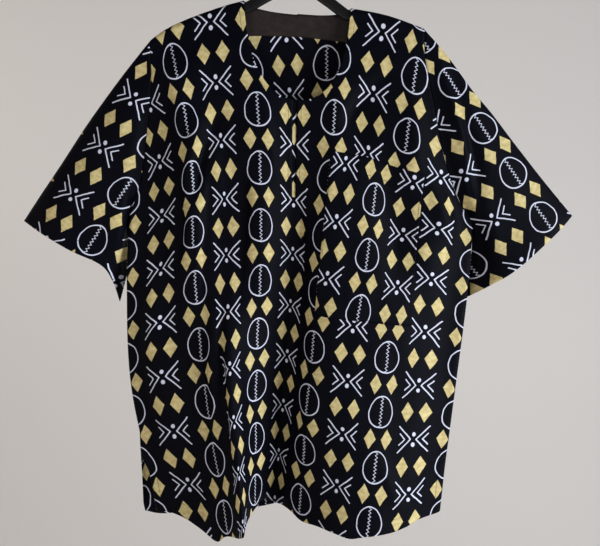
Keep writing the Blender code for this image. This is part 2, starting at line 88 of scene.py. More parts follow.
# How far each hem is turned in, and how far the small pieces stand off the panel they lie on
HEMS = {"bottom": 20.0, "neck": 7.0, "vent": 15.0, "edge": 3.0, "pocket_top": 26.0}
STAND_OFF = {"pocket": 1.1, "underlap": -0.9, "facing": -1.3}

# The sleeves as cut, in metres and square metres
SLEEVE_CUT = {-1: (0.46, 0.24), 1: (0.52, 0.24)}
SLEEVE_AREA = {-1: 0.078, 1: 0.0885}

# Sleeve edges in mm as x, y, z: the fold along the top, the underarm line, and the cuff's two faces
SLEEVE = {
    -1: {
        "top": ((-240, 0, -192), (-287, 0, -249), (-335, 0, -312), (-384, 0, -382), (-441, 0, -463)),
        "under": ((-275, 14, -500), (-274, 22, -535), (-283, 28, -590)),
        "cuff_front": ((-441, 0, -463), (-405, -15, -484), (-360, -19, -510), (-312, -8, -537),
                       (-303, 8, -562), (-296, 26, -599)),
        "cuff_back": ((-441, 0, -463), (-405, 17, -486), (-360, 26, -514), (-320, 33, -546),
                      (-305, 38, -580), (-299, 35, -597), (-296, 26, -599)),
    },
    1: {
        "top": ((241, 0, -205), (258, 0, -227), (281, 0, -258), (311, 0, -291), (352, 0, -342),
                (395, 0, -394), (447, 0, -455)),
        "under": ((297, 8, -496), (291, 21, -540), (272, 28, -598)),
        "cuff_front": ((447, 0, -455), (425, -12, -475), (397, -18, -501), (349, -17, -544),
                       (306, 2, -575), (272, 28, -598)),
        "cuff_back": ((447, 0, -455), (424, 14, -476), (390, 24, -507), (345, 32, -548),
                      (300, 38, -582), (272, 28, -598)),
    },
}
# The sleeve's fullness in mm, and where it comes in: round from fold to underarm, out from seam to cuff
BULGE = {"middle": 10.0, "cuff": 3.0, "out_by": 0.25, "round": 0.6}
UNDERARM_SWING = {-1: 0.0, 1: 6.0}
SWING_FORM = {"from": 0.5, "power": 0.7}
UNDERARM_BACK = {"far": 11.0, "from": 0.66, "over": 0.2, "out_from": 0.08, "out_over": 0.2}
UNDERARM_STEP = {-1: 0.0, 1: 10.0}
STEP_FORM = {"from": 0.78, "over": 0.14, "out_by": 0.3}
UNDERARM_GAP = {"wide": 0.25, "from": 0.6, "over": 0.2}
UNDERARM_WAY = (1.2, -0.9)

# The hanger, in mm: its arms lie under the shoulder seams, and its hook stands at the centre
ARM_THICK = 8.0
ARM_TALL = 17.0
ARM_SINK = 1.6
ARM_PEAK = -82.0
ARM_REACH = {-1: -194.0, 1: 164.0}
ARM_START = 4.0
ARM_STEPS = 12
ARM_GAPS = 2.5
ARM_NECK = {-1: ((14, -85), (33, -97), (56, -109)), 1: ((14, -85), (33, -98), (58, -115))}
HOOK_RADIUS = 23.0
HOOK_WIRE = 3.0
HOOK_TURN = (-32.0, 205.0)
HOOK_STEM = ((0, -96), (0, -70), (1, -58), (7, -48), (15, -39))

# How the front hangs: one row for each level of the cloth, one column for each upright line of it
LINES = (-5, -4, -3, -2, -1, 0, 1, 2, 3, 4, 5)
ROWS = (0, 4, 8, 12, 16)
FRONT_X = {
    0: (-301, -248, -199, -133, -68, 2, 72, 137, 194, 252, 310),
    4: (-269, -216, -163, -117, -57, -3, 57, 113, 168, 229, 290),
    8: (-277, -214, -161, -110, -55, -5, 39, 99, 156, 216, 282),
    12: (-275, -210, -148, -103, -63, -15, 23, 82, 141, 199, 265),
    16: (-243, -176, -121, -89, -66, -30, 10, 65, 121, 182, 247),
}
FRONT_Y = {
    0: (-8, -12, -12, -12, -12, -12, -12, -12, -12, -12, -8),
    4: (0, -12, -36, -22, -30, -16, -26, -26, -24, -16, 0),
    8: (0, -10, -38, -24, -40, -14, -44, -46, -40, -24, 0),
    12: (0, -16, -40, -66, -30, 0, -40, -54, -48, -30, 0),
    16: (-6, -22, -52, -84, -38, 8, -34, -62, -68, -48, -10),
}
FRONT_Z = {
    0: (-203, -189, -170, -156, -151, -154, -162, -172, -190, -212, -235),
    4: (-386, -369, -351, -337, -334, -342, -347, -356, -375, -393, -413),
    8: (-559, -539, -522, -517, -512, -515, -529, -537, -546, -555, -573),
    12: (-734, -713, -704, -691, -685, -686, -705, -714, -722, -728, -744),
    16: (-912, -897, -892, -854, -857, -858, -877, -884, -896, -904, -914),
}
# How far the back stands behind the hanger's plane, and how much higher its middle lies than its sides
BACK_Y = {
    0: (8, 12, 12, 12, 12, 12, 12, 12, 12, 12, 8),
    4: (0, 9, 15, 17, 16, 17, 16, 18, 15, 9, 0),
    8: (0, 13, 24, 20, 28, 22, 30, 20, 24, 13, 0),
    12: (0, 17, 38, 25, 33, 47, 33, 24, 38, 19, 0),
    16: (6, 24, 54, 32, 40, 66, 44, 30, 56, 27, 8),
}
BACK_CROWN = {0: 0, 4: 62, 8: 50, 12: 42, 16: 36}

SHOULDER_ROUND = 7.5
SHOULDER_FADE = 60.0
BACK_JOIN_FADE = 150.0
SIDE_ROUND = 6.0
SIDE_FADE = 60.0
SIDE_LEAD = 130.0
SIDE_LEAD_FADE = 100.0
VENT_OPEN = 9.0
SWING = {"reach": 24.0, "top": 608.0, "full": 736.0, "inside": 150.0, "vent_fade": 40.0}

# Reach in mm for the slopes of the cloth, and how near counts as on an edge
SLOPE_STEP = 1.5
RIDGE_STEP = 3.0
ON_EDGE = 0.01


def smoothstep(t):
    t = np.clip(t, 0.0, 1.0)
    return t * t * (3 - 2 * t)


def unit(vectors):
    return vectors / np.linalg.norm(vectors, axis=-1, keepdims=True)


def travelled(points):
    """The distance along a line of points at each of them."""
    return np.concatenate([[0], np.cumsum(np.linalg.norm(np.diff(points, axis=0), axis=1))])


def spline(stations, values, t):
    """A smooth curve through values at stations, read at t, straight on beyond the ends."""
    stations = np.asarray(stations, float)
    values = np.asarray(values, float)
    steps = np.diff(values, axis=0) / np.diff(stations).reshape((-1,) + (1,) * (values.ndim - 1))
    slopes = np.concatenate([steps[:1], (steps[1:] + steps[:-1]) / 2, steps[-1:]])
    i = np.clip(np.searchsorted(stations, t) - 1, 0, len(stations) - 2)
    width = stations[i + 1] - stations[i]
    q = (t - stations[i]) / width
    inside = np.clip(q, 0.0, 1.0)
    start = 2 * inside**3 - 3 * inside**2 + 1
    weights = (start, (inside**3 - 2 * inside**2 + inside) * width,
               1 - start, (inside**3 - inside**2) * width)
    beyond = (q - inside) * width
    extra = np.where(q < 0, 1.0, 0.0), np.where(q > 1, 1.0, 0.0)
    column = (np.arange(values.shape[1]),) if values.ndim == 2 else ()
    here, there = (i, *column), (i + 1, *column)
    picked = (values[here], slopes[here], values[there], slopes[there])
    result = sum(w * p for w, p in zip(weights, picked))
    return result + beyond * (extra[0] * slopes[0] + extra[1] * slopes[-1])


def curve(points, share):
    """Points at each share of the way along a smooth curve through the given points."""
    points = np.array(points, float)
    stations = travelled(points)
    share = np.asarray(share, float) * stations[-1]
    return np.stack([spline(stations, column, share) for column in points.T], axis=-1)


def read_table(table, line, row):
    """The table's value at each (line, row), smooth across and down."""
    levels = np.stack([spline(LINES, table[level], line) for level in ROWS])
    return spline(ROWS, levels, row)


def seam_height(u):
    """v of the shoulder seam at u, straight on past both its ends."""
    tip_u, tip_v = (np.where(u < 0, *pair) for pair in zip(SHOULDER_TIP[-1], SHOULDER_TIP[1]))
    along = (np.abs(u) - NECK_HALF) / (np.abs(tip_u) - NECK_HALF)
    return NECK_TOP + (tip_v - NECK_TOP) * along


def side_swing(u, v, facing):
    """How far the wearer's right side swings out below the waist; past the vent only the back does."""
    down = np.clip((v - SWING["top"]) / (SWING["full"] - SWING["top"]), 0.0, 1.0)
    if facing < 0:
        down = down * (1 - smoothstep((v - VENT_TOP) / SWING["vent_fade"]))
    return SWING["reach"] * down * smoothstep((SWING["inside"] - CHEST_HALF - u) / SWING["inside"])


def hang(u, v, table_x, table_y, table_z, facing):
    """Where the cloth at (u, v) hangs, in mm; facing is -1 for the front and +1 for the back."""
    u = np.asarray(u, float)
    v = np.asarray(v, float)
    below = np.maximum(v - seam_height(u), 0.0)
    turn = np.minimum(below / SHOULDER_ROUND, math.pi / 2)
    straight = np.maximum(below - SHOULDER_ROUND * math.pi / 2, 0.0)
    spare = (math.pi / 2 - 1) * SHOULDER_ROUND
    drop = SHOULDER_ROUND * (1 - np.cos(turn)) + straight + spare * smoothstep(below / SHOULDER_FADE)
    line = u / LINE_STEP
    row = (seam_height(u) + drop) / ROW_STEP
    x = read_table(table_x, line, row)
    z = read_table(table_z, line, row)
    y_table = read_table(table_y, line, row)
    y_wrap = facing * (SHOULDER_ROUND * np.sin(turn) + SEAM_GAP / 2)
    y = y_wrap + (y_table - facing * SHOULDER_ROUND) * smoothstep(straight / SHOULDER_FADE)
    # The side seam, where the cloth rounds back to meet the other panel
    side = np.where(u < 0, -1.0, 1.0)
    x_edge = read_table(table_x, side * CHEST_HALF / LINE_STEP, row)
    inward = np.maximum(CHEST_HALF - np.abs(u), 0.0)
    bend = np.minimum(inward / SIDE_ROUND, math.pi / 2)
    flat = np.maximum(inward - SIDE_ROUND * math.pi / 2, 0.0)
    open_vent = VENT_OPEN * smoothstep((v - VENT_TOP) / (HEM - VENT_TOP))
    y_side = facing * (SEAM_GAP / 2 + open_vent + SIDE_ROUND * np.sin(bend))
    x_side = x_edge - side * (SIDE_ROUND * (1 - np.cos(bend)) + flat)
    keep = smoothstep(inward / SIDE_FADE)
    near_side = smoothstep((v - UNDERARM[-1][1] + SIDE_LEAD) / SIDE_LEAD_FADE)
    keep = 1 - (1 - keep) * near_side
    x_hung = x_side + (x - x_side) * keep - side_swing(u, v, facing)
    return np.stack([x_hung, y_side + (y - y_side) * keep, z], axis=-1)


def back_tables():
    """The back's x and z tables: the front's edges, with the cloth spread evenly between them."""
    x_rows, z_rows = {}, {}
    for row in ROWS:
        if row == 0:
            x_rows[row], z_rows[row] = FRONT_X[row], FRONT_Z[row]
            continue
        share = (np.array(LINES) - LINES[0]) / (LINES[-1] - LINES[0])
        left, right = FRONT_X[row][0], FRONT_X[row][-1]
        x_rows[row] = tuple(left + (right - left) * share)
        low, high = FRONT_Z[row][0], FRONT_Z[row][-1]
        crown = BACK_CROWN[row] * (1 - (2 * share - 1) ** 2)
        z_rows[row] = tuple(low + (high - low) * share + crown)
    return x_rows, z_rows


BACK_X, BACK_Z = back_tables()


def hang_front(u, v):
    return hang(u, v, FRONT_X, FRONT_Y, FRONT_Z, -1)


def hang_back(u, v):
    """The back, brought to the front's shoulder seam at its top."""
    u = np.asarray(u, float)
    place = hang(u, v, BACK_X, BACK_Y, BACK_Z, 1)
    seam = seam_height(u)
    step = hang_front(u, seam) - hang(u, seam, BACK_X, BACK_Y, BACK_Z, 1)
    fade = 1 - smoothstep((v - seam) / BACK_JOIN_FADE)
    step[..., 1] = 0
    return place + step * fade[..., None]


def outward(hanging, u, v, facing):
    """The unit normal on the outside of the cloth at (u, v)."""
    across = hanging(u + SLOPE_STEP, v) - hanging(u - SLOPE_STEP, v)
    down = hanging(u, v + SLOPE_STEP) - hanging(u, v - SLOPE_STEP)
    return unit(np.cross(down, across) * -facing)


def panel_normals(hanging, u, v, facing):
    """Outward normals, held square to the rim along the side and shoulder seams."""
    normal = outward(hanging, u, v, facing)
    on_side = (np.abs(np.abs(u) - CHEST_HALF) < ON_EDGE) & (v < VENT_TOP + ON_EDGE)
    normal[on_side] = np.stack([np.sign(u[on_side]), 0 * u[on_side], 0 * u[on_side]], axis=-1)
    on_seam = np.abs(v - seam_height(u)) < ON_EDGE
    if on_seam.any():
        before, after = u[on_seam] - RIDGE_STEP, u[on_seam] + RIDGE_STEP
        ridge = hanging(after, seam_height(after)) - hanging(before, seam_height(before))
        up = np.stack([-ridge[:, 2], 0 * ridge[:, 0], ridge[:, 0]], axis=-1)
        normal[on_seam] = unit(up)
    return normal


def neck_curve(bottom, power, points):
    """The neck's cut edge from the left high point to the right one."""
    angles = np.linspace(math.pi, 0, points)
    u = NECK_HALF * np.sign(np.cos(angles)) * np.abs(np.cos(angles)) ** (2 / power)
    v = NECK_TOP + (bottom - NECK_TOP) * np.sin(angles) ** (2 / power)
    return list(zip(u, v))


def hem_line(u, facing):
    """The hem's v at u: the back's is even, and the front's follows how it was turned up and hangs."""
    if facing < 0:
        stations, values = zip(*FRONT_HEM)
        return spline(stations, values, np.asarray(u, float))
    rise = HEM_RISE * (np.maximum(np.abs(u) - HEM_RISE_START, 0) / (CHEST_HALF - HEM_RISE_START)) ** 2
    return HEM - rise


def sleeve_surface(side, ring, share, face, levels):
    """The sleeve's outer surface, level by level, from the armhole ring out to the cuff."""
    edges = SLEEVE[side]
    under = int(np.argmax(share))
    levels = np.array(levels)
    top = curve([ring[0], *edges["top"]], levels)
    low = curve([ring[under], *edges["under"]], levels)
    cuff_front, cuff_back = curve(edges["cuff_front"], share), curve(edges["cuff_back"], share)
    cuff = np.where((face < 0)[:, None], cuff_front, cuff_back)
    rows = []
    for n, s in enumerate(levels):
        w = share[:, None]
        ruled = (1 - s) * ring + s * cuff + (1 - w) * top[n] + w * low[n]
        corners = (1 - s) * ((1 - w) * top[0] + w * low[0]) + s * ((1 - w) * top[-1] + w * low[-1])
        row = ruled - corners
        depth = BULGE["middle"] * smoothstep(s / BULGE["out_by"]) * (1 - s) + BULGE["cuff"] * smoothstep(s)
        row[:, 1] += face * depth * np.sin(math.pi * share) ** BULGE["round"]
        start = SWING_FORM["from"]
        low_part = np.sin(math.pi * np.clip((share - start) / (1 - start), 0, 1)) ** 2
        row[:, 0] += side * UNDERARM_SWING[side] * low_part * math.sin(math.pi * s) ** SWING_FORM["power"]
        behind = smoothstep((share - UNDERARM_BACK["from"]) / UNDERARM_BACK["over"])
        behind = behind * smoothstep((s - UNDERARM_BACK["out_from"]) / UNDERARM_BACK["out_over"])
        row[:, 1] += UNDERARM_BACK["far"] * behind * math.sqrt(1 - s)
        corner = smoothstep((share - STEP_FORM["from"]) / STEP_FORM["over"])
        corner = corner * math.sin(math.pi * min(s / STEP_FORM["out_by"], 1.0))
        row[:, 0] += side * UNDERARM_STEP[side] * corner
        rows.append(row)
    return np.array(rows)


# The finer cloth of the visible pieces: grid step and thickness, and where two cuts become one, in mm
GRID = 4.0
THIN = 0.6
THINNEST = 0.5
CUT_JOIN = 0.05

# How a crease wanders and varies along itself, and how fast it dies at its ends
CREASE = {"wander": 6.0, "wander_rate": 1.7, "uneven": 0.3, "uneven_rate": 4.1, "shift": 2.3, "end": 1.5}

# Small swells of the whole cloth: size across and height in mm, and the step of their seed
SWELLS = ((60.0, 2.6, 0.0), (24.0, 1.1, 9.0))
SWELL_SQUEEZE = 0.55
FRONT_SEED = 1.0
BACK_SEED = 5.0
SEAM_CALM = 45.0

# The hem's map coordinates are in cm; what counts as far from it, in mm, and the slant of its dashes
MAP_UNIT = 10.0
FAR_FROM_HEM = 60.0
DASH_SLANT = 0.9

# Creases: centre u and v, direction in degrees from across, half length, half width, height in mm
FRONT_CREASES = (
    (-158, 96, 62, 95, 15, -4.0), (-196, 120, 100, 70, 12, 3.0), (-120, 330, 84, 160, 16, 3.2),
    (40, 200, 88, 120, 18, -2.5), (120, 60, -35, 90, 20, 3.0), (165, 40, -20, 70, 14, -2.6),
    (230, 300, 78, 130, 18, 3.0), (200, 560, 84, 150, 22, -3.0), (-235, 420, 86, 140, 16, -3.0),
    (60, 620, 92, 130, 20, 2.4), (0, 420, 90, 150, 14, 2.2), (-150, 196, 115, 85, 12, -11.0),
    (-180, 190, 115, 75, 14, 6.0), (-128, 290, 91, 210, 30, 6.0), (-211, 288, 92, 90, 8, -6.0),
    (-94, 322, 91, 120, 8, -6.0), (-157, 330, 93, 150, 8, -4.5), (-158, 560, 95, 170, 11, 6.0),
    (-138, 560, 95, 170, 9, -9.0), (172, 262, 84, 130, 32, -12.0), (246, 235, 84, 120, 26, 13.0),
    (110, 95, -58, 70, 10, -4.0), (-40, 180, 70, 60, 9, 3.0), (215, 690, 60, 60, 12, 3.5),
    (60, 700, 112, 80, 12, -3.5), (-250, 470, 90, 330, 40, 16.0), (14, 340, 91, 90, 5, -5.0),
    (190, 110, 88, 130, 26, 9.0), (102, 120, 92, 120, 26, -7.0),
)
BACK_CREASES = (
    (-170, 90, 60, 90, 18, -3.0), (160, 80, -55, 90, 18, -3.0), (0, 60, 0, 120, 16, 2.5),
    (-90, 300, 86, 170, 20, 3.0), (110, 360, 94, 180, 20, -3.0), (220, 300, 84, 130, 18, 2.6),
    (-220, 360, 96, 140, 18, 2.8), (40, 620, 90, 140, 22, 3.0), (-150, 640, 84, 120, 18, -2.6),
    (200, 620, 92, 120, 18, -2.6),
)


def crease(a, b, shape, n, form, scale):
    """One soft, uneven ridge or trough, read at the offsets a and b from its middle."""
    angle, length, width, tall = shape
    turn = math.radians(angle)
    along = a * math.cos(turn) + b * math.sin(turn)
    across = b * math.cos(turn) - a * math.sin(turn)
    across = across + form["wander"] * np.sin(along / scale * form["wander_rate"] + n)
    uneven = 1 + form["uneven"] * np.sin(along / scale * form["uneven_rate"] + form["shift"] * n)
    fade = np.clip(1 - (along / length) ** 2, 0, None) ** form["end"]
    return tall * uneven * fade * np.exp(-((across / width) ** 2))


def crease_height(u, v, creases):
    """How far the creases stand out at (u, v), in mm."""
    height = np.zeros_like(u)
    for n, (at_u, at_v, *shape) in enumerate(creases):
        height += crease(u - at_u, v - at_v, shape, n, CREASE, shape[1])
    return height


def crumple(u, v, seed, scale, size):
    """Small uneven swells all over, in mm."""
    places = [Vector((a / scale, b / scale * SWELL_SQUEEZE, seed)) for a, b in zip(u, v)]
    return size * np.array([noise.noise(place) for place in places])


def armhole_line(side, steps=24):
    """The armhole's cut edge from shoulder to underarm, as a smooth curve."""
    line = curve([SHOULDER_TIP[side], *ARMHOLE[side], UNDERARM[side]], np.linspace(0, 1, steps))
    return [tuple(point) for point in line]


def front_neck():
    """The front neck curve with the slit cut down from its lowest point."""
    edge = neck_curve(NECK_BOTTOM, NECK_POWER, points=61)
    right = [p for p in edge if p[0] < -SLIT_HALF - 1]
    left = [p for p in edge if p[0] > SLIT_HALF + 1]
    slit = [(-SLIT_HALF, NECK_BOTTOM), (-SLIT_HALF, SLIT_END)]
    slit += [(SLIT_HALF, SLIT_END), (SLIT_HALF, NECK_BOTTOM)]
    return right + slit + left


def hem_points(facing):
    """The hem's cut edge; one corner of the back hangs lower."""
    hem_u = np.linspace(-CHEST_HALF, CHEST_HALF, HEM_POINTS)
    low = BACK_CORNER["drop"] if facing > 0 else 0.0
    drop = low * np.exp(-(((hem_u + CHEST_HALF) / BACK_CORNER["reach"]) ** 2))
    return list(zip(hem_u, hem_line(hem_u, facing) + drop))


def panel_outline(neck, facing):
    """The flat outline of a panel, from the wearer's right high point round by the hem."""
    hem = [(-CHEST_HALF, VENT_TOP), *hem_points(facing), (CHEST_HALF, VENT_TOP)]
    return armhole_line(-1) + hem + armhole_line(1)[::-1] + neck[::-1]


def flat_mesh(outline):
    """The flat piece cut into a grid."""
    mesh = bmesh.new()
    mesh.faces.new([mesh.verts.new((u, v, 0)) for u, v in outline])
    low = np.min(outline, axis=0)
    high = np.max(outline, axis=0)
    for axis in (0, 1):
        rest = mesh.faces[:]
        way = Vector((1 - axis, axis, 0))
        for place in np.arange(low[axis] + GRID / 2, high[axis], GRID):
            geometry = set(rest)
            for face in rest:
                geometry.update(face.verts)
                geometry.update(face.edges)
            cut = bmesh.ops.bisect_plane(mesh, geom=list(geometry), dist=CUT_JOIN, plane_co=way * place,
                                         plane_no=way)
            faces = [part for part in cut["geom"] if isinstance(part, bmesh.types.BMFace)]
            rest = [face for face in faces if max(vert.co[axis] for vert in face.verts) > place + ON_EDGE]
    return mesh


def add_object(name, data):
    made = bpy.data.objects.new(name, data)
    bpy.context.scene.collection.objects.link(made)
    return made


def as_piece(name, data, material, thick=None):
    """An object from mesh data that rides on the root, with a cloth's thickness inward."""
    data.materials.append(material)
    piece = add_object(name, data)
    if thick:
        shell = piece.modifiers.new("cloth_thickness", "SOLIDIFY")
        shell.thickness = thick * MM
        shell.offset = -1
    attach(piece, "root")
    return piece


def smooth_outward(mesh, normal):
    """Turn the faces the way of the outward normals given for the points, and shade them smooth."""
    mesh.normal_update()
    facing = sum(face.normal.dot(Vector(normal[face.verts[0].index])) for face in mesh.faces)
    if facing < 0:
        bmesh.ops.reverse_faces(mesh, faces=mesh.faces[:])
    for face in mesh.faces:
        face.smooth = True


def edge_distance(points, line):
    """How far each flat point is from a polyline."""
    best = np.full(len(points), np.inf)
    for start, end in zip(line, line[1:]):
        start, end = np.array(start, float), np.array(end, float)
        way = end - start
        t = np.clip(((points - start) @ way) / (way @ way), 0, 1)
        best = np.minimum(best, np.linalg.norm(points - start - t[:, None] * way, axis=1))
    return best


# How each piece was cut from the print: steps in mm, shift and turn in steps, and pulls of its lines
STRAIGHT = {"line": LINE_STEP, "row": ROW_STEP, "shift": (0.0, 0.0), "turn": (0.0, 0.0), "pulls": ()}
FRONT_CHART = {**STRAIGHT, "pulls": ((95, 50, 70, 0.075),)}
BACK_CHART = {**STRAIGHT, "line": 57.4, "row": 45.1, "shift": (0.31, -0.26), "turn": (0.0, 0.003)}
POCKET_CHART = {**STRAIGHT, "line": 57.0, "row": 43.5, "shift": (-1.713, -4.552), "turn": (0.00121, 0.0)}
UNDERLAP_CHART = {**STRAIGHT, "shift": (1.24, 0.34)}


def hem_layer(u, v, hems):
    """Map coordinates for the stitching: how far past the stitch line a point is, and how far along."""
    points = np.stack([u, v], axis=1)
    past = np.full(len(u), FAR_FROM_HEM)
    for width, line in hems:
        past = np.minimum(past, edge_distance(points, line) - width)
    return np.stack([past, u * DASH_SLANT + v], axis=1) / MAP_UNIT


def hung_panel(name, outline, hanging, facing, material, creases, seed, chart=FRONT_CHART, hems=(),
               out=0.0, thick=THIN):
    """A piece cut from its outline and hung, out mm proud of the front's or the back's face."""
    mesh = flat_mesh(outline)
    mesh.verts.index_update()
    u, v = np.array([vert.co[:2] for vert in mesh.verts]).T
    normal = panel_normals(hanging, u, v, facing)
    place = hanging(u, v) + normal * (panel_height(u, v, creases, seed) + out)[:, None]
    line = u / chart["line"] + v * chart["turn"][0] + chart["shift"][0]
    row = v / chart["row"] + u * chart["turn"][1] + chart["shift"][1]
    for at_u, at_v, reach, pull in chart["pulls"]:
        line = line + pull * np.exp(-((u - at_u) ** 2 + (v - at_v) ** 2) / reach**2)
    for layer, values in (("Cloth", np.stack([line, row], axis=1)), ("Hem", hem_layer(u, v, hems))):
        uv = mesh.loops.layers.uv.new(layer)
        for face in mesh.faces:
            for loop in face.loops:
                loop[uv].uv = values[loop.vert.index]
    for vert, spot in zip(mesh.verts, place):
        vert.co = Vector(spot) * MM
    smooth_outward(mesh, normal)
    data = bpy.data.meshes.new(name)
    mesh.to_mesh(data)
    mesh.free()
    return as_piece(name, data, material, thick)


def polygon_area(outline):
    """The flat area of an outline given in mm, in square metres."""
    x, y = np.array(outline, float).T
    return abs(np.dot(x, np.roll(y, -1)) - np.dot(y, np.roll(x, -1))) / 2 * MM * MM


def panel_height(u, v, creases, seed):
    """Creases and swells, in mm, that die away at the shoulder, armhole and side seams."""
    points = np.stack([u, v], axis=1)
    seams = [armhole_line(side) + [(side * CHEST_HALF, HEM)] for side in (-1, 1)]
    seams += [[(side * NECK_HALF, NECK_TOP), SHOULDER_TIP[side]] for side in (-1, 1)]
    nearest = np.min([edge_distance(points, line) for line in seams], axis=0)
    keep = smoothstep(nearest / SEAM_CALM)
    swells = sum(crumple(u, v, seed + step, scale, size) for scale, size, step in SWELLS)
    return keep * (crease_height(u, v, creases) + swells)


class Field:
    """A number that varies over a material, built up from math nodes."""

    def __init__(self, tree, source):
        self.tree = tree
        self.source = source

    def make(self, operation, *others):
        node = self.tree.nodes.new("ShaderNodeMath")
        node.operation = operation
        self.tree.links.new(self.source, node.inputs[0])
        for n, other in enumerate(others, 1):
            if isinstance(other, Field):
                self.tree.links.new(other.source, node.inputs[n])
            else:
                node.inputs[n].default_value = other
        return Field(self.tree, node.outputs[0])

    __add__ = partialmethod(make, "ADD")
    __sub__ = partialmethod(make, "SUBTRACT")
    __mul__ = partialmethod(make, "MULTIPLY")
    __truediv__ = partialmethod(make, "DIVIDE")
    size = partialmethod(make, "ABSOLUTE")
    root = partialmethod(make, "SQRT")
    least = partialmethod(make, "MINIMUM")
    most = partialmethod(make, "MAXIMUM")

    def held(self, low, high):
        return self.most(low).least(high)

    def wrap(self, half):
        return self.make("WRAP", half, -half)

    def within(self, limit, soft):
        """1 where this is under the limit and 0 where it is over, with a soft edge."""
        return ((self * (-1 / soft)) + (limit / soft + 0.5)).held(0.0, 1.0)


def length_of(a, b):
    return (a * a + b * b).root()


def to_segment(a, b, start, angle, reach):
    """Distance of (a, b) from a straight stroke that starts at (start, 0)."""
    way_a, way_b = math.cos(math.radians(angle)), math.sin(math.radians(angle))
    off = a - start
    along = (off * way_a + b * way_b).held(0.0, reach)
    return length_of(off - along * way_a, b - along * way_b)


# The print's motifs, in mm on the cloth
DIAMOND = {"apart": 14.3, "half_wide": 9.9, "half_tall": 16.3, "soft": 0.75}
OVAL = {"half_wide": 19.9, "half_tall": 25.3, "line": 0.9, "egg": 0.13, "inside_soft": 0.02}
ZIGZAG = {"half_period": 3.0, "swing": 1.95, "line": 0.46}
CHEVRON = {"apex": 4.6, "angle": 47.5, "arm": 28.6, "line": 0.95}
INNER_CHEVRON = {"apex": 14.2, "arm": 12.0, "line": 0.88}
DOTS = {"away": 8.2, "half_wide": 2.9, "half_tall": 3.4}
EDGE_SOFT = 0.5


def print_masks(u, v):
    """Where the print is white and where it is gold, from the cloth's u and v in mm."""
    a_even, b_even = u.wrap(LINE_STEP), v.wrap(ROW_STEP)
    a_odd, b_odd = (u + LINE_STEP).wrap(LINE_STEP), (v + ROW_STEP).wrap(ROW_STEP)
    # Crossed chevrons with two dots, at the even places
    a, b = a_even.size(), b_even.size()
    big = to_segment(a, b, CHEVRON["apex"], CHEVRON["angle"], CHEVRON["arm"])
    big = big.within(CHEVRON["line"], EDGE_SOFT)
    small = to_segment(a, b, INNER_CHEVRON["apex"], CHEVRON["angle"], INNER_CHEVRON["arm"])
    small = small.within(INNER_CHEVRON["line"], EDGE_SOFT)
    dots = length_of(a / DOTS["half_wide"], (b - DOTS["away"]) / DOTS["half_tall"])
    dots = dots.within(1.0, EDGE_SOFT / DOTS["half_wide"])
    # Ovals with a zigzag down the middle, at the odd places
    down = b_odd / OVAL["half_tall"]
    spread = length_of(a_odd / ((down * OVAL["egg"] + 1.0) * OVAL["half_wide"]), down)
    ring = (spread - 1.0).size() * ((OVAL["half_wide"] + OVAL["half_tall"]) / 2)
    ring = ring.within(OVAL["line"], EDGE_SOFT)
    swing = ZIGZAG["swing"] * 2 / ZIGZAG["half_period"]
    zig = (b_odd.make("PINGPONG", ZIGZAG["half_period"]) - ZIGZAG["half_period"] / 2) * swing
    zig = ((a_odd - zig).size() * (1 / math.hypot(1, swing))).within(ZIGZAG["line"], EDGE_SOFT)
    zig = zig * spread.within(1.0, OVAL["inside_soft"])
    white = big.most(small).most(dots).most(ring).most(zig)
    # Pairs of diamonds, between them
    gold = None
    for a, b in ((a_odd, b_even), (a_even, b_odd)):
        out = (a.size() - DIAMOND["apart"]).size() / DIAMOND["half_wide"] + b.size() / DIAMOND["half_tall"]
        one = out.within(1.0, DIAMOND["soft"] / DIAMOND["half_wide"])
        gold = one if gold is None else gold.most(one)
    return white, gold


# Inks and ground, and how the print, its cloth and its stitching vary
GROUND = (0.0010, 0.0012, 0.0038)
WHITE_INK = (0.59, 0.61, 0.74)
GOLD_INK = (0.62, 0.525, 0.268)
GOLD_DARK = (0.45, 0.355, 0.152)
INK_WANDER = 3.0
INK_WANDER_SCALES = (2.2, 2.9)
MOTTLE_SCALE = 7.0
SLUB_SCALE = 30.0
WEAVE = {"share": 0.4, "tall": 0.0003, "slub": 1.5}
# The satin's streaks of painted sheen: their scale, the satin's own colour, and the lighter colour painted
# in the streaks as sheen
SHEEN_STREAK_SCALE = 5.0
SATIN_DARK = (0.008, 0.0048, 0.0042)
SATIN_PAINTED_SHEEN = (0.020, 0.0125, 0.011)
PLASTIC = {"dark": (0.002, 0.002, 0.0025), "light": (0.005, 0.005, 0.006), "grain_scale": 900.0,
           "smudge_scale": 35.0, "specular": 0.25}
STITCH = {"way": 1.6, "dash": 0.72, "dash_soft": 0.2, "half_wide": 0.45, "soft": 0.3, "fold_soft": 1.6,
          "dark": 0.75, "sunk": 1.5, "fold_tall": 1.6}


def mix_colour(tree, mask, first, second):
    node = tree.nodes.new("ShaderNodeMix")
    node.data_type = "RGBA"
    tree.links.new(mask.source, node.inputs[0])
    for slot, colour in ((6, first), (7, second)):
        if isinstance(colour, tuple):
            node.inputs[slot].default_value = (*colour, 1)
        else:
            tree.links.new(colour, node.inputs[slot])
    return node.outputs[2]


def noise_field(tree, vector, scale, detail=2.0):
    node = tree.nodes.new("ShaderNodeTexNoise")
    node.inputs["Scale"].default_value = scale
    node.inputs["Detail"].default_value = detail
    tree.links.new(vector, node.inputs["Vector"])
    return Field(tree, node.outputs["Fac"])


def new_material(name):
    material = bpy.data.materials.new(name)
    material.use_nodes = True
    return material, material.node_tree, material.node_tree.nodes["Principled BSDF"]


def set_gloss(shader, roughness, specular):
    shader.inputs["Roughness"].default_value = roughness
    shader.inputs["Specular IOR Level"].default_value = specular


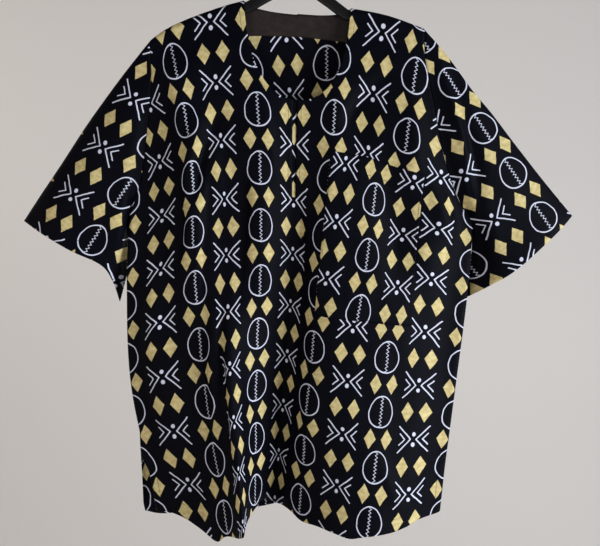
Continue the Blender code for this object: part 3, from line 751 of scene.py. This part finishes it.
def map_fields(tree, layer, step_u, step_v):
    """A layer of map coordinates, and its two parts in mm on the cloth."""
    uv = tree.nodes.new("ShaderNodeUVMap")
    uv.uv_map = layer
    split = tree.nodes.new("ShaderNodeSeparateXYZ")
    tree.links.new(uv.outputs[0], split.inputs[0])
    return uv.outputs[0], Field(tree, split.outputs[0]) * step_u, Field(tree, split.outputs[1]) * step_v


def add_bump(tree, shader, height, strength, distance):
    bump = tree.nodes.new("ShaderNodeBump")
    bump.inputs["Strength"].default_value = strength
    bump.inputs["Distance"].default_value = distance
    tree.links.new(height.source, bump.inputs["Height"])
    tree.links.new(bump.outputs[0], shader.inputs["Normal"])


def add_weave(tree, shader, u, v, more, pitch, strength):
    """A plain weave with threads pitch mm apart, and more height on top of it."""
    across = (u * (2 * math.pi / pitch)).make("SINE")
    down = (v * (2 * math.pi / pitch)).make("SINE")
    add_bump(tree, shader, across * down * WEAVE["share"] + more, strength, WEAVE["tall"])


def stitching(tree):
    """The dashes of the hem's stitching, and the doubled cloth between them and the edge."""
    past, along = map_fields(tree, "Hem", MAP_UNIT, MAP_UNIT)[1:]
    dash = along.make("PINGPONG", STITCH["way"]).within(STITCH["way"] * STITCH["dash"], STITCH["dash_soft"])
    line = past.size().within(STITCH["half_wide"], STITCH["soft"])
    return line * dash, past.within(0.0, STITCH["fold_soft"])


def print_material(name):
    material, tree, shader = new_material(name)
    vector, u, v = map_fields(tree, "Cloth", LINE_STEP, ROW_STEP)
    wander = [(noise_field(tree, vector, scale) - 0.5) * INK_WANDER for scale in INK_WANDER_SCALES]
    white, gold = print_masks(u + wander[0], v + wander[1])
    mottle = noise_field(tree, vector, MOTTLE_SCALE, detail=4.0)
    gold_shade = mix_colour(tree, (mottle * 3.0 - 1.0).held(0.0, 1.0), GOLD_INK, GOLD_DARK)
    colour = mix_colour(tree, gold, GROUND, gold_shade)
    colour = mix_colour(tree, white, colour, WHITE_INK)
    stitch, fold = stitching(tree)
    colour = mix_colour(tree, stitch * STITCH["dark"], colour, GROUND)
    tree.links.new(colour, shader.inputs["Base Color"])
    set_gloss(shader, roughness=0.6, specular=0.05)
    slub = noise_field(tree, vector, SLUB_SCALE, detail=3.0)
    relief = slub * WEAVE["slub"] + fold * STITCH["fold_tall"] - stitch * STITCH["sunk"]
    add_weave(tree, shader, u, v, relief, pitch=0.9, strength=0.35)
    return material


def satin_material(name):
    material, tree, shader = new_material(name)
    vector, u, v = map_fields(tree, "Cloth", LINE_STEP, ROW_STEP)
    # Lighter streaks painted on the satin as sheen; the same streaks also raise its bump
    sheen_streak = noise_field(tree, vector, SHEEN_STREAK_SCALE, detail=4.0)
    colour = mix_colour(tree, (sheen_streak * 2.4 - 0.7).held(0.0, 1.0), SATIN_DARK, SATIN_PAINTED_SHEEN)
    tree.links.new(colour, shader.inputs["Base Color"])
    set_gloss(shader, roughness=0.5, specular=0.25)
    add_weave(tree, shader, u, v, sheen_streak * 2.0, pitch=0.7, strength=0.3)
    return material


def plastic_material(name):
    material, tree, shader = new_material(name)
    where = tree.nodes.new("ShaderNodeTexCoord").outputs["Object"]
    grain = noise_field(tree, where, PLASTIC["grain_scale"])
    smudge = noise_field(tree, where, PLASTIC["smudge_scale"], detail=3.0)
    colour = mix_colour(tree, smudge, PLASTIC["dark"], PLASTIC["light"])
    tree.links.new(colour, shader.inputs["Base Color"])
    shader.inputs["Specular IOR Level"].default_value = PLASTIC["specular"]
    tree.links.new((smudge * 0.2 + 0.33).source, shader.inputs["Roughness"])
    add_bump(tree, shader, grain, strength=0.15, distance=0.0002)
    return material


def sleeve_rows(side, across_steps, levels):
    """The sleeve's outer surface as rows of points from armhole to cuff, and each point's share."""
    line = armhole_line(side, across_steps + 1)
    u, v = np.array(line).T
    halves = []
    for hanging, facing in ((hang_front, -1), (hang_back, 1)):
        edge = hanging(u, v)
        normal = panel_normals(hanging, u, v, facing)
        away = np.cross(normal, np.gradient(edge, axis=0))
        away *= np.sign((away[1:-1, 0] * side).sum())
        stations = travelled(edge)
        halves.append((edge, unit(away), stations / stations[-1]))
    (edge_f, away_f, share_f), (edge_b, away_b, share_b) = halves
    tip_away = unit(away_f[0] + away_b[0])
    low_away = np.array((UNDERARM_WAY[0] * side, 0, UNDERARM_WAY[1]))
    place = [(edge_f[0] + edge_b[0]) / 2, *edge_f[1:-1], (edge_f[-1] + edge_b[-1]) / 2, *edge_b[-2:0:-1]]
    away = [tip_away, *away_f[1:-1], low_away, *away_b[-2:0:-1]]
    share = np.concatenate([share_f, share_b[-2:0:-1]])
    face = np.array([-1] * len(share_f) + [1] * (len(share_b) - 2))
    low_share = smoothstep((share - UNDERARM_GAP["from"]) / UNDERARM_GAP["over"])
    gap = SEAM_GAP + UNDERARM_GAP["wide"] * low_share
    ring = np.array(place) + np.array(away) * gap[:, None]
    return sleeve_surface(side, ring, share, face, levels), share


# The sleeves' print: a motif's place on the front face as x and z, and the steps to the next row and line
SLEEVE_PRINT = {
    -1: {"at": (-255.0, -272.0), "row": (-24.6, -37.3), "line": (53.6, -33.9), "lattice": (0.0, 0.0),
         "edge_pull": 0.2},
    1: {"at": (294.5, -316.0), "row": (24.85, -34.85), "line": (-53.8, -39.7), "lattice": (1.0, 1.0),
        "edge_pull": 0.0},
}
EDGE_PULL = {"from": 0.5, "over": 0.35}

# Creases: share out, share round, direction in degrees, half length and half width as shares, height in mm
SLEEVE_CREASES = {
    -1: ((0.45, 0.30, 30, 0.42, 0.055, 5.0), (0.62, 0.62, -24, 0.40, 0.06, -4.0),
         (0.25, 0.55, 40, 0.3, 0.05, -3.5), (0.8, 0.35, 8, 0.3, 0.05, 3.0)),
    1: ((0.16, 0.10, 70, 0.20, 0.035, 5.0), (0.30, 0.14, 60, 0.22, 0.035, -4.5),
        (0.5, 0.45, 20, 0.45, 0.06, 4.0), (0.7, 0.7, -20, 0.35, 0.06, -3.5),
        (0.85, 0.3, 5, 0.3, 0.05, 3.0)),
}
SLEEVE_CREASE = {**CREASE, "wander": 0.012, "wander_rate": 14, "uneven_rate": 11, "shift": 1}
SLEEVE_SWELL = {"scale": 55.0, "size": 2.4, "seed": 3.0}
SLEEVE_CALM = 0.14
SLEEVE_EDGE_CALM = {"part": 0.7, "reach": 0.05}
SLEEVE_STEPS = {"out": 56, "round": 44}
SLEEVE_HEM = 18.0


def sleeve_height(side, level, round_share, length, girth):
    """The sleeve's creases and crumple in mm, dying away at the armhole seam."""
    height = np.zeros_like(level)
    aspect = length / girth
    for n, (at_level, at_share, *shape) in enumerate(SLEEVE_CREASES[side]):
        out, about = (level - at_level) * aspect, round_share - at_share
        height += crease(out, about, shape, n, SLEEVE_CREASE, 1.0)
    seed = SLEEVE_SWELL["seed"] + side
    swell = crumple(level * length, round_share * girth, seed, SLEEVE_SWELL["scale"], SLEEVE_SWELL["size"])
    return (height + swell) * smoothstep(level / SLEEVE_CALM)


def sleeve_lattice(side, place, fold, back):
    """The print's line and row at each place; the back reads on round the fold along the top."""
    way = unit((fold[-1] - fold[0])[[0, 2]])
    square = np.array([-way[1], way[0]])
    spot = place[..., [0, 2]]
    if back:
        off = spot - fold[:, None, [0, 2]]
        spot = spot - 2 * (off @ square)[..., None] * square
    chart = SLEEVE_PRINT[side]
    steps = np.linalg.inv(np.array([chart["line"], chart["row"]]).T)
    lattice = (spot - np.array(chart["at"])) @ steps.T
    near_edge = smoothstep((-lattice[..., 0] - EDGE_PULL["from"]) / EDGE_PULL["over"])
    lattice[..., 0] *= 1 - chart["edge_pull"] * near_edge
    return lattice + np.array(chart["lattice"])


def sleeve_piece(name, side, material):
    """A sleeve as a ring of points for each level, with its creases and its map coordinates."""
    levels = np.linspace(0, 1, SLEEVE_STEPS["out"])
    rows, share = sleeve_rows(side, SLEEVE_STEPS["round"], levels)
    count = rows.shape[1]
    under = int(np.argmax(share))
    length = travelled(rows[:, count // 4])[-1]
    girth = np.linalg.norm(rows[-1] - np.roll(rows[-1], 1, axis=0), axis=1).sum()
    ring_share = np.arange(count) / count
    normal = np.cross(np.roll(rows, -1, axis=1) - np.roll(rows, 1, axis=1), np.gradient(rows, axis=0))
    normal /= np.linalg.norm(normal, axis=-1, keepdims=True) + 1e-9
    normal *= np.sign((normal * (rows - rows.mean(axis=1, keepdims=True))).sum())
    level_grid, share_grid = np.meshgrid(levels, ring_share, indexing="ij")
    height = sleeve_height(side, level_grid.ravel(), share_grid.ravel(), length, girth)
    height = height.reshape(level_grid.shape)
    from_edge = np.minimum(share, 1 - share) / SLEEVE_EDGE_CALM["reach"]
    edge_keep = 1 - SLEEVE_EDGE_CALM["part"] * np.exp(-(from_edge**2))
    rows = rows + normal * (height * edge_keep)[..., None]
    charts = [sleeve_lattice(side, rows, rows[:, 0], back) for back in (False, True)]
    faces, cloth_map, hem_map = [], [], []
    for level in range(len(levels) - 1):
        for n in range(count):
            m = (n + 1) % count
            chart = charts[n >= under]
            corners = ((level, n), (level, m), (level + 1, m), (level + 1, n))
            faces.append([a * count + b for a, b in corners])
            cloth_map += [chart[a, b] for a, b in corners]
            for a, b in corners:
                past = length * (1 - levels[a]) - SLEEVE_HEM
                along = girth * (b or (count if n else 0)) / count
                hem_map.append((past / MAP_UNIT, along / MAP_UNIT))
    data = bpy.data.meshes.new(name)
    data.from_pydata([tuple(p * MM) for p in rows.reshape(-1, 3)], [], faces)
    for layer, values in (("Cloth", cloth_map), ("Hem", hem_map)):
        data.uv_layers.new(name=layer).uv.foreach_set("vector", np.array(values, np.float32).ravel())
    mesh = bmesh.new()
    mesh.from_mesh(data)
    smooth_outward(mesh, normal.reshape(-1, 3))
    mesh.to_mesh(data)
    mesh.free()
    return as_piece(name, data, material, THIN)


def rectangle(box):
    corners = (("left", "top"), ("right", "top"), ("right", "bottom"), ("left", "bottom"))
    return [(box[across], box[down]) for across, down in corners]


def facing_outline(neck):
    """The neck facing: along the neck's cut edge above, straight below, up to the shoulder seams."""
    half, under = FACING["half"], FACING["under_seam"]
    near = NECK_HALF + FACING["past_neck"]
    top = [(u, v) for u, v in neck if v > NECK_TOP + under + 1]
    ends = [(u, float(seam_height(np.array(u))) + under) for u in (-half, -near, near, half)]
    bottom = [(u, FACING["bottom"]) for u in np.linspace(half, -half, 15)]
    return ends[:2] + top + ends[2:] + bottom


def square_to(path):
    """The unit direction square to a path in the x-z plane at each of its points."""
    step = unit(np.gradient(path, axis=0))
    return np.stack([-step[:, 1], step[:, 0]], axis=1)


def tube(name, path, thick, tall, material, count=24):
    """A closed bar swept along a path in the x-z plane; thick and tall are half sizes."""
    path = np.array(path, float)
    angles = (np.arange(count) + 0.5) * 2 * math.pi / count
    points, faces = [], []
    for (x, z), (ax, az) in zip(path, square_to(path)):
        for angle in angles:
            reach = math.sin(angle) * thick + np.sign(math.sin(angle)) * (tall - thick)
            points.append((x + ax * reach, math.cos(angle) * thick, z + az * reach))
    for ring in range(len(path) - 1):
        for n in range(count):
            a, b = ring * count + n, ring * count + (n + 1) % count
            faces.append((a, b, b + count, a + count))
    faces.append(tuple(range(count)))
    faces.append(tuple(range((len(path) - 1) * count, len(path) * count)))
    data = bpy.data.meshes.new(name)
    data.from_pydata([tuple(c * MM for c in p) for p in points], [], faces)
    mesh = bmesh.new()
    mesh.from_mesh(data)
    bmesh.ops.recalc_face_normals(mesh, faces=mesh.faces[:])
    for face in mesh.faces:
        face.smooth = len(face.verts) == 4
    mesh.to_mesh(data)
    mesh.free()
    return as_piece(name, data, material)


def arm_path():
    """The middle line of the hanger's arms, from one end to the other, under the shoulder seams."""
    below = WALL + ARM_GAPS * SEAM_GAP
    sides = {}
    for side in (-1, 1):
        u = np.linspace(side * (NECK_HALF - ARM_START), ARM_REACH[side], ARM_STEPS)
        ridge = hang_front(u, seam_height(u))
        sink = below + ARM_SINK * np.linspace(0, 1, ARM_STEPS) ** 3
        seam = list(zip(ridge[:, 0], ridge[:, 2] - sink))
        sides[side] = [(side * x, z) for x, z in ARM_NECK[side]] + seam
    top = np.array(sides[-1][::-1] + [(0, ARM_PEAK)] + sides[1])
    return top - square_to(top) * ARM_TALL / 2


def build_shirt():
    prints = print_material("print_cloth")
    satin = satin_material("facing_satin")
    plastic = plastic_material("black_plastic")
    vents = [(HEMS["vent"], [(side * CHEST_HALF, VENT_TOP), (side * CHEST_HALF, HEM)]) for side in (-1, 1)]
    neck = front_neck()
    back_neck = neck_curve(BACK_NECK_BOTTOM, BACK_NECK_POWER, points=41)
    front_outline = panel_outline(neck, -1)
    back_outline = panel_outline(back_neck, 1)
    pocket_box = rectangle(POCKET)
    facing_edge = [(-FACING["half"], FACING["bottom"]), (FACING["half"], FACING["bottom"])]
    on_front = (hang_front, -1, prints, FRONT_CREASES, FRONT_SEED)
    front = hung_panel("front_cloth", front_outline, *on_front,
                       hems=[(HEMS["bottom"], hem_points(-1)), *vents, (HEMS["neck"], neck)])
    back = hung_panel("back_cloth", back_outline, hang_back, 1, prints, BACK_CREASES, BACK_SEED, BACK_CHART,
                      hems=[(HEMS["bottom"], hem_points(1)), *vents])
    pocket = hung_panel("pocket_cloth", pocket_box, *on_front, POCKET_CHART, out=STAND_OFF["pocket"],
                        hems=[(HEMS["edge"], pocket_box + pocket_box[:1]),
                              (HEMS["pocket_top"], pocket_box[:2])])
    underlap = hung_panel("underlap_cloth", rectangle(UNDERLAP), *on_front, UNDERLAP_CHART,
                          out=STAND_OFF["underlap"], thick=THINNEST)
    facing = hung_panel("neck_facing_satin", facing_outline(back_neck), hang_back, 1, satin, BACK_CREASES,
                        BACK_SEED, hems=[(HEMS["edge"], facing_edge)], out=STAND_OFF["facing"],
                        thick=THINNEST)
    right = sleeve_piece("right_sleeve_cloth", -1, prints)
    left = sleeve_piece("left_sleeve_cloth", 1, prints)
    bar = tube("hanger_bar", arm_path(), ARM_THICK / 2, ARM_TALL / 2, plastic)
    angles = np.radians(np.linspace(*HOOK_TURN, 40))
    bend = [(HOOK_RADIUS * math.cos(a), HOOK_WIRE + HOOK_RADIUS * (math.sin(a) - 1)) for a in angles]
    hook_path = [*curve(HOOK_STEM, np.linspace(0, 1, 16)), *bend]
    hook = tube("hanger_hook", hook_path, HOOK_WIRE, HOOK_WIRE, plastic)
    for piece, node, slot, cut, area in (
        (front, "front_panel", "print_cloth", (0.600, 0.841), polygon_area(front_outline)),
        (back, "back_panel", "print_cloth", (0.600, 0.817), polygon_area(back_outline)),
        (right, "sleeve_right", "print_cloth", SLEEVE_CUT[-1], SLEEVE_AREA[-1]),
        (left, "sleeve_left", "print_cloth", SLEEVE_CUT[1], SLEEVE_AREA[1]),
        (pocket, "pocket", "print_cloth", (0.155, 0.250), None),
        (underlap, "slit_underlap", "print_cloth", (0.030, 0.166), None),
        (facing, "neck_facing", "facing_satin", (0.210, 0.051), None),
    ):
        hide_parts(node)
    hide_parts("hanger")
    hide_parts("hanger")


# The studio, in metres: the floor and its curve up, the sky, the lights and the camera
FLOOR = -2.6
FLOOR_FRONT = -4.0
FLOOR_HALF_WIDTH = 6.0
WALL_TALL = 4.5
FLOOR_COLOUR = (0.745, 0.71, 0.688)
SKY_COLOUR = (0.82, 0.77, 0.74)
COVE_START = 1.2
COVE_RADIUS = 1.3
SKY = 0.25
# Each light's name, place, aim, side length, power and colour
LIGHTS = (
    ("key", (2.7, -1.45, -0.6), (0.0, 0.0, -0.65), 1.6, 124, (0.93, 0.99, 1.03)),
    ("fill", (-1.5, -2.2, -0.9), (0.0, 0.0, -0.75), 1.6, 22, (1.0, 0.96, 0.92)),
    ("wall", (-2.5, 0.8, 0.1), (-0.5, 2.5, -0.6), 2.0, 14, (1.0, 0.93, 0.87)),
)
CAMERA = {"place": (0.0065, -1.105, -0.425), "down": 6.35, "lens": 40.8, "sensor": 36}


def studio():
    """A pale floor that curves up far behind, three soft lights and a soft even sky."""
    scene = bpy.context.scene
    floor = new_material("floor")[0]
    shader = floor.node_tree.nodes["Principled BSDF"]
    shader.inputs["Base Color"].default_value = (*FLOOR_COLOUR, 1)
    shader.inputs["Roughness"].default_value = 0.9
    profile = [(FLOOR_FRONT, FLOOR), (COVE_START, FLOOR)]
    for a in np.linspace(0, math.pi / 2, 24)[1:]:
        profile.append((COVE_START + COVE_RADIUS * math.sin(a), FLOOR + COVE_RADIUS * (1 - math.cos(a))))
    profile.append((COVE_START + COVE_RADIUS, FLOOR + WALL_TALL))
    points = [(x, y, z) for y, z in profile for x in (-FLOOR_HALF_WIDTH, FLOOR_HALF_WIDTH)]
    faces = [(2 * n, 2 * n + 1, 2 * n + 3, 2 * n + 2) for n in range(len(profile) - 1)]
    data = bpy.data.meshes.new("floor")
    data.from_pydata(points, [], faces)
    data.materials.append(floor)
    for face in data.polygons:
        face.use_smooth = True
    ground = add_object("floor", data)
    for name, place, aim, size, power, colour in LIGHTS:
        lamp = bpy.data.lights.new(name, "AREA")
        lamp.size = size
        lamp.energy = power
        lamp.color = colour
        light = add_object(name, lamp)
        light.location = place
        light.rotation_euler = (Vector(aim) - Vector(place)).to_track_quat("-Z", "Y").to_euler()
    world = bpy.data.worlds.new("studio")
    world.use_nodes = True
    sky = world.node_tree.nodes["Background"]
    sky.inputs["Color"].default_value = (*SKY_COLOUR, 1)
    sky.inputs["Strength"].default_value = SKY
    scene.world = world
    camera = bpy.data.cameras.new("camera")
    camera.lens = CAMERA["lens"]
    camera.sensor_width = CAMERA["sensor"]
    eye = add_object("camera", camera)
    eye.location = CAMERA["place"]
    eye.rotation_euler = (math.radians(90 - CAMERA["down"]), 0, 0)
    scene.camera = eye
    scene.view_settings.view_transform = "Standard"


build_shirt()
studio()
